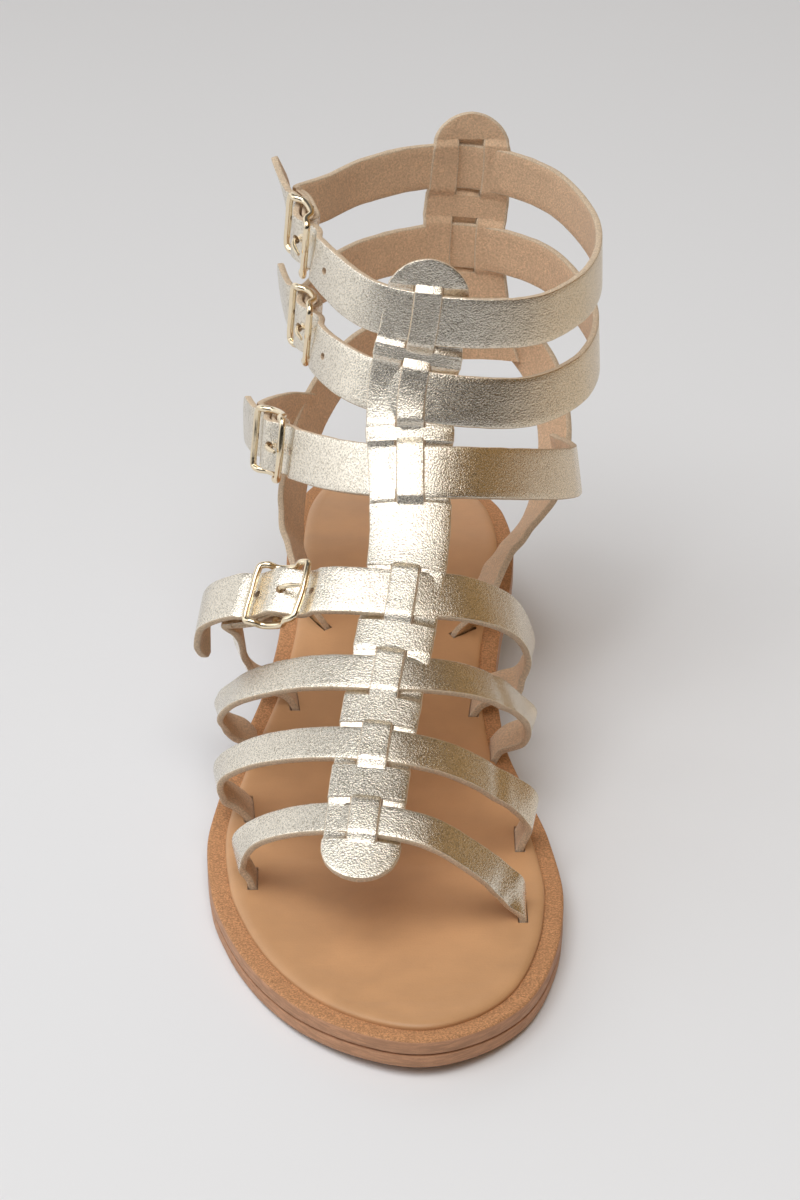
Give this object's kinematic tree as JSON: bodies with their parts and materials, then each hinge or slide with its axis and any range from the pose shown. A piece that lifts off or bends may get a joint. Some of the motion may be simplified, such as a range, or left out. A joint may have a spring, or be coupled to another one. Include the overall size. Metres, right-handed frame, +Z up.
{
  "type": "gladiator sandal",
  "caption": "Open gladiator sandal for the right foot: a flat layered sole with a low heel block and crossed, buckled leather straps on a front spine and a heel piece.",
  "frame": {"origin": "on the ground, at the middle of the sandal's outer length and width", "axes": "+Y towards the heel (the toe points to -Y), +Z up, +X to the inner (big toe) side of this right sandal"},
  "size_m": [0.109, 0.251, 0.1425],
  "materials": {
    "strap_leather": "pale champagne metallic leather with a fine crackled grain, tan suede inside, cream cut edges",
    "insole_leather": "smooth satin tan leather, lightly wrinkled",
    "sole_leather": "grainy matte tan leather",
    "outsole_leather": "matte tan leather",
    "heel_stack_leather": "burnished layered tan leather",
    "heel_rubber": "matte dark brown rubber",
    "buckle_metal": "polished pale gold plating",
    "eyelet_metal": "polished brass"
  },
  "bodies": {
    "root": {"outsole": "outsole_leather", "midsole": "sole_leather", "insole": "insole_leather", "heel_block": "heel_stack_leather", "heel_top_piece": "heel_rubber", "upper": "strap_leather", "instep_buckle_strap": "strap_leather", "buckle_frame_instep": "buckle_metal", "buckle_prong_instep": "buckle_metal", "eyelet_instep": "eyelet_metal", "buckle_frame_ankle": "buckle_metal", "buckle_prong_ankle": "buckle_metal", "eyelet_ankle": "eyelet_metal", "buckle_frame_lower_loop": "buckle_metal", "buckle_prong_lower_loop": "buckle_metal", "eyelet_lower_loop": "eyelet_metal", "buckle_frame_upper_loop": "buckle_metal", "buckle_prong_upper_loop": "buckle_metal", "eyelet_upper_loop": "eyelet_metal"}
  },
  "joints": []
}
